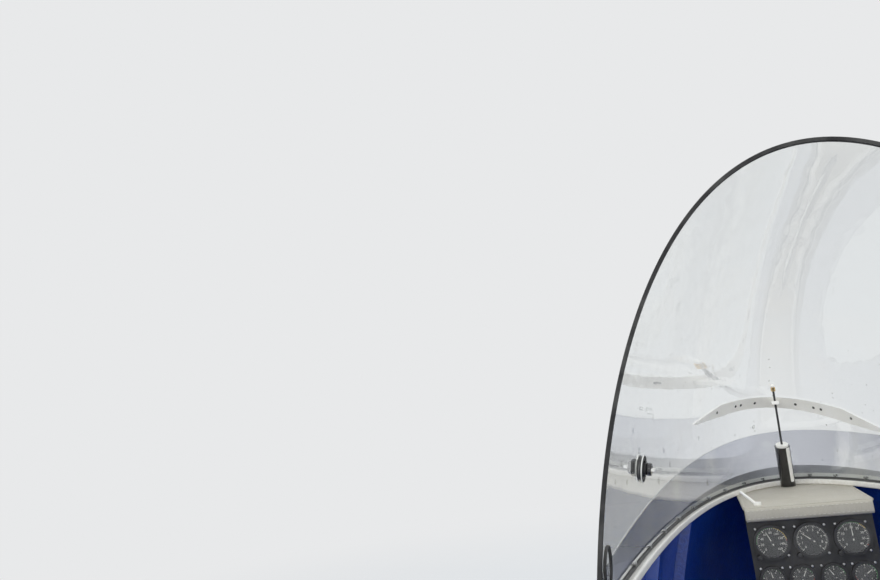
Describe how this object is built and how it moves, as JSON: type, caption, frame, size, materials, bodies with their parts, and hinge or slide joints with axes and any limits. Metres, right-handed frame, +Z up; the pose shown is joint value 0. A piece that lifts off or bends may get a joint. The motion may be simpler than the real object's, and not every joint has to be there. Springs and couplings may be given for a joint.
{
  "type": "gyroplane nose fairing with windscreen",
  "caption": "Front cockpit nose fairing of a tandem open gyroplane: hollow shell, coaming rim, clear bubble windscreen with stay and turning vent, instrument panel and light.",
  "frame": {"origin": "middle of the keel bracket's four bolt holes, on the bracket's underside", "axes": "+Y forward to the nose, +X to the pilot's right, +Z up, square to the windscreen's rim"},
  "size_m": [0.7728, 1.44, 1.089],
  "materials": {
    "blue_gelcoat": "gloss",
    "cream_gelcoat": "gloss",
    "floor_composite": "matt",
    "black_rubber": "matt",
    "bracket_steel": "satin",
    "clear_screen": "gloss",
    "tinted_screen": "gloss",
    "strip_aluminium": "satin",
    "screw_steel": "satin",
    "white_plastic": "gloss",
    "rivet_black": "satin",
    "rod_black": "gloss",
    "gloss_black": "gloss",
    "brass_tip": "satin",
    "black_plastic": "satin",
    "hood_grey": "satin",
    "panel_black": "matt",
    "dial_black": "matt",
    "switch_chrome": "gloss",
    "mirror_bowl": "gloss",
    "bulb_glass": "gloss"
  },
  "bodies": {
    "fairing": {"nose_shell": "blue_gelcoat", "coaming_rim": "cream_gelcoat", "floor_panel": "floor_composite", "shell_ribs": "blue_gelcoat", "rear_frame": "cream_gelcoat", "leg_slot_trim": "black_rubber", "keel_bracket": "bracket_steel", "backing_plate": "bracket_steel", "windscreen": "clear_screen", "windscreen_seal": "black_rubber", "clamp_strip": "strip_aluminium", "clamp_screws": "screw_steel", "tinted_band": "tinted_screen", "edge_trim": "black_rubber", "stay_strip": "white_plastic", "stay_rivets": "rivet_black", "stay_lug": "white_plastic", "stay_rod": "rod_black", "stay_bush": "gloss_black", "bush_cap": "white_plastic", "rod_tip": "brass_tip", "vent_ring": "black_plastic", "hood": "hood_grey", "hood_lever": "white_plastic", "instrument_panel": "panel_black", "dial_bezels": "black_plastic", "dial_cases": "panel_black", "dial_faces": "dial_black", "panel_switches": "switch_chrome", "panel_knobs": "black_plastic", "light_ring": "strip_aluminium", "light_lens": "clear_screen", "light_can": "strip_aluminium", "light_bowl": "mirror_bowl", "light_bulb": "bulb_glass", "pitot_tube": "strip_aluminium", "pitot_socket": "black_plastic"},
    "vent": {"vent_scoop": "black_plastic"}
  },
  "joints": [
    {"name": "vent_turn", "type": "hinge", "parent": "fairing", "child": "vent", "pos_m": [-0.2852, 0.165, 0.67], "axis": [-0.9742, 0.1181, 0.1922], "continuous": true}
  ]
}
